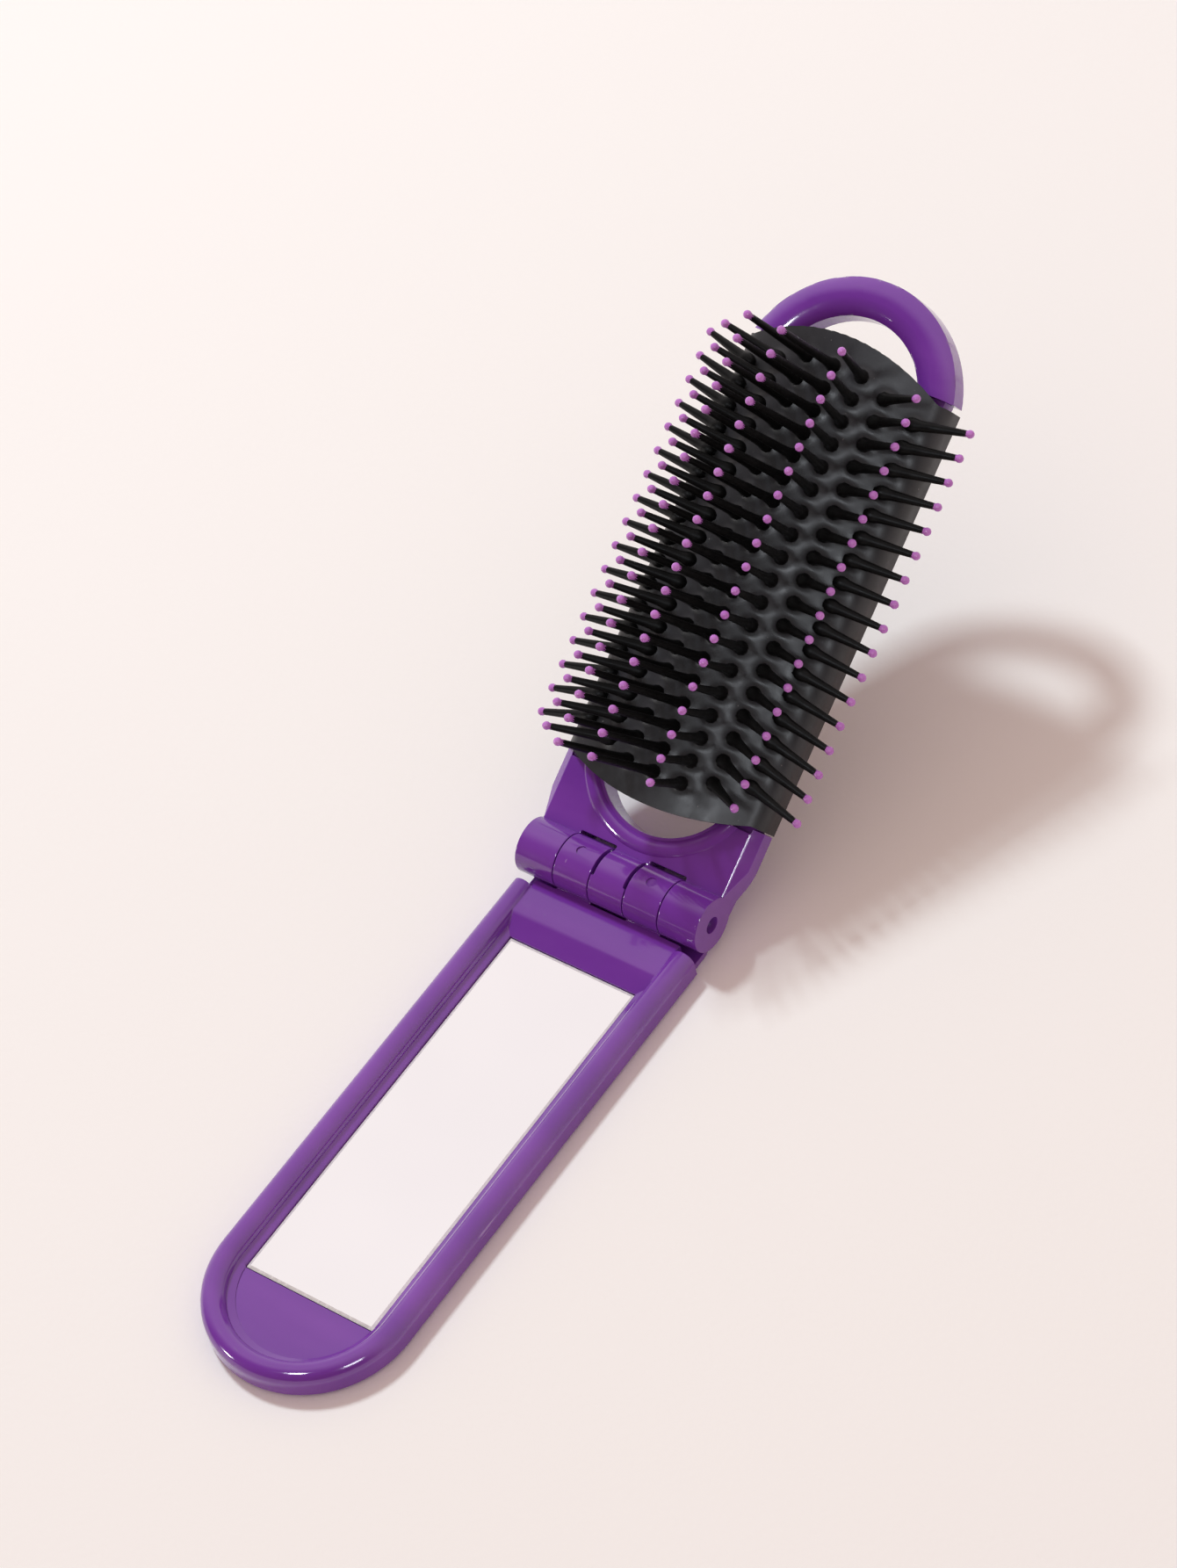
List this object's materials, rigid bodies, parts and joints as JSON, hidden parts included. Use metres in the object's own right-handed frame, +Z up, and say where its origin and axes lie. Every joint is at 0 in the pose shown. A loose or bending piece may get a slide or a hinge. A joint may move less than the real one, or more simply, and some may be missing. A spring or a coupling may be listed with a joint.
{
  "type": "folding hairbrush with mirror",
  "caption": "Pocket hairbrush that folds at a barrel hinge: a slim handle with an inset mirror, and a looped frame that carries an arched rubber pad with rows of ball-tipped pins.",
  "frame": {"origin": "on the handle's flat underside, straight below the middle of the hinge axis", "axes": "+X from the handle towards the brush half, +Y along the hinge axis, +Z up away from the face the handle lies on"},
  "size_m": [0.1872, 0.0492, 0.0713],
  "materials": {
    "handle_plastic": "violet moulded ABS, satin gloss with faint flow lines",
    "frame_plastic": "violet moulded ABS, glossy, lightly scuffed",
    "mirror": "silvered glass with a ground bevel",
    "adhesive_foam": "thin double-sided foam tape",
    "pin_steel": "plain drawn steel",
    "pad_rubber": "black moulded rubber with a soft sheen",
    "pin_nylon": "black nylon, satin",
    "bead_nylon": "lilac dipped beads, glossy"
  },
  "bodies": {
    "handle": {"handle_frame": "handle_plastic", "mirror_glass": "mirror", "mirror_tape": "adhesive_foam", "hinge_pin": "pin_steel"},
    "brush": {"brush_frame": "frame_plastic", "bristle_pad": "pad_rubber", "bristle_row_1": "pin_nylon", "bristle_row_2": "pin_nylon", "bristle_row_3": "pin_nylon", "bristle_row_4": "pin_nylon", "bristle_row_5": "pin_nylon", "bristle_row_6": "pin_nylon", "bristle_row_7": "pin_nylon", "tip_beads_1": "bead_nylon", "tip_beads_2": "bead_nylon", "tip_beads_3": "bead_nylon", "tip_beads_4": "bead_nylon", "tip_beads_5": "bead_nylon", "tip_beads_6": "bead_nylon", "tip_beads_7": "bead_nylon"}
  },
  "joints": [
    {"name": "fold_hinge", "type": "hinge", "parent": "handle", "child": "brush", "pos_m": [0, 0, 0.0062], "axis": [0, -1, 0], "range_deg": [-29.7, 150.3], "deforming": ["bristle_pad", "bristle_row_1", "bristle_row_2", "bristle_row_3", "bristle_row_4", "bristle_row_5", "bristle_row_6", "bristle_row_7", "tip_beads_1", "tip_beads_2", "tip_beads_3", "tip_beads_4", "tip_beads_5", "tip_beads_6", "tip_beads_7"]}
  ]
}
